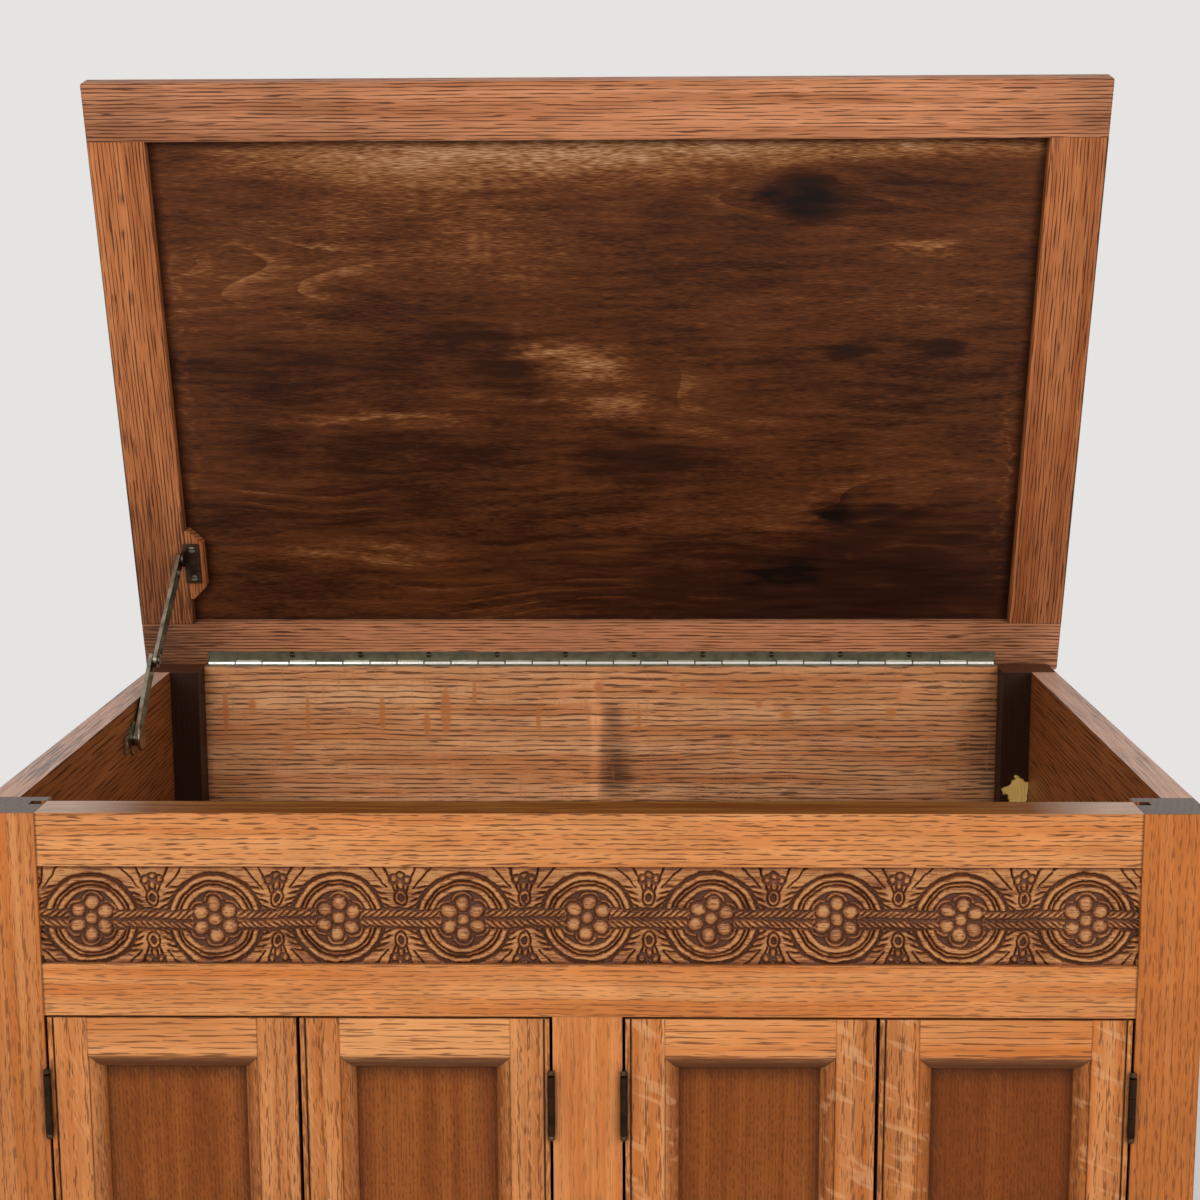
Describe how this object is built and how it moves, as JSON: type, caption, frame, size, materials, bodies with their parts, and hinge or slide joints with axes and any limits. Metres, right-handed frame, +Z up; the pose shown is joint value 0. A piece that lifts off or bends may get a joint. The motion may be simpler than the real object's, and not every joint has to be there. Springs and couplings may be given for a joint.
{
  "type": "coffer chest",
  "caption": "Oak coffer chest with a lift-up framed lid on a folding stay, a carved frieze and pairs of panelled cupboard doors below the coffer.",
  "frame": {"origin": "floor level, centre of the chest's box with the lid open", "axes": "+X to the right, +Y to the back, +Z up; the doors face -Y"},
  "size_m": [0.82, 0.5455, 1.2301],
  "materials": {
    "front_oak": "satin wax",
    "side_oak": "satin wax",
    "dark_oak": "dark stain",
    "figured_oak": "satin wax",
    "panel_oak": "satin wax",
    "lid_oak": "satin wax",
    "stained_ply": "dark stain",
    "nickel": "worn nickel plate",
    "bronze": "dark bronzed"
  },
  "bodies": {
    "carcass": {"left_front_post": "front_oak", "right_front_post": "front_oak", "left_rear_post": "dark_oak", "right_rear_post": "dark_oak", "front_top_rail": "front_oak", "frieze_panel": "front_oak", "front_middle_rail": "front_oak", "front_bottom_rail": "front_oak", "front_muntin": "front_oak", "left_top_board": "side_oak", "right_top_board": "side_oak", "left_bottom_rail": "side_oak", "right_bottom_rail": "side_oak", "left_side_panel": "side_oak", "right_side_panel": "side_oak", "back_top_board": "figured_oak", "back_bottom_rail": "side_oak", "back_panel": "stained_ply", "coffer_floor": "stained_ply", "cupboard_floor": "stained_ply", "coffer_floor_ledgers": "side_oak", "cupboard_floor_ledgers": "side_oak", "centre_partition": "stained_ply", "door_stops": "side_oak", "piano_hinge_back_leaf": "nickel", "piano_hinge_pin": "nickel", "stay_side_plate": "bronze", "door_hinge_fixed_leaves": "bronze", "door_hinge_pins": "bronze"},
    "lid": {"lid_front_rail": "lid_oak", "lid_rear_rail": "lid_oak", "lid_left_stile": "lid_oak", "lid_right_stile": "lid_oak", "lid_panel": "stained_ply", "piano_hinge_lid_leaf": "nickel", "stay_block": "lid_oak", "stay_lid_bracket": "bronze"},
    "stay_upper": {"stay_upper_bar": "bronze"},
    "stay_lower": {"stay_lower_bar": "bronze"},
    "door_1": {"door_1_stiles": "front_oak", "door_1_rails": "front_oak", "door_1_panel": "panel_oak", "door_1_knob": "front_oak", "door_1_hinge_leaves": "bronze"},
    "door_2": {"door_2_stiles": "front_oak", "door_2_rails": "front_oak", "door_2_panel": "panel_oak", "door_2_knob": "front_oak", "door_2_hinge_leaves": "bronze"},
    "door_3": {"door_3_stiles": "front_oak", "door_3_rails": "front_oak", "door_3_panel": "panel_oak", "door_3_knob": "front_oak", "door_3_hinge_leaves": "bronze"},
    "door_4": {"door_4_stiles": "front_oak", "door_4_rails": "front_oak", "door_4_panel": "panel_oak", "door_4_knob": "front_oak", "door_4_hinge_leaves": "bronze"}
  },
  "joints": [
    {"name": "lid_hinge", "type": "hinge", "parent": "carcass", "child": "lid", "pos_m": [0, 0.2526, 0.73025], "axis": [1, 0, 0], "range_deg": [0, 75]},
    {"name": "stay_lower_pivot", "type": "hinge", "parent": "carcass", "child": "stay_lower", "pos_m": [-0.37, 0.08, 0.702], "axis": [1, 0, 0], "range_deg": [-120.21, 0]},
    {"name": "stay_upper_pivot", "type": "hinge", "parent": "lid", "child": "stay_upper", "pos_m": [-0.37, 0.21697, 0.82941], "axis": [1, 0, 0], "range_deg": [-55.55, 0]},
    {"name": "door_1_hinge", "type": "hinge", "parent": "carcass", "child": "door_1", "pos_m": [-0.3566, -0.2528, 0.35], "axis": [0, 0, -1], "range_deg": [0, 175]},
    {"name": "door_2_hinge", "type": "hinge", "parent": "carcass", "child": "door_2", "pos_m": [-0.0239, -0.2528, 0.35], "axis": [0, 0, 1], "range_deg": [0, 90]},
    {"name": "door_3_hinge", "type": "hinge", "parent": "carcass", "child": "door_3", "pos_m": [0.0239, -0.2528, 0.35], "axis": [0, 0, -1], "range_deg": [0, 90]},
    {"name": "door_4_hinge", "type": "hinge", "parent": "carcass", "child": "door_4", "pos_m": [0.3566, -0.2528, 0.35], "axis": [0, 0, 1], "range_deg": [0, 175]}
  ],
  "couplings": [
    {"joint": "stay_lower_pivot", "follows": "lid_hinge", "ratio": -1.6027},
    {"joint": "stay_upper_pivot", "follows": "lid_hinge", "ratio": -0.74058}
  ]
}
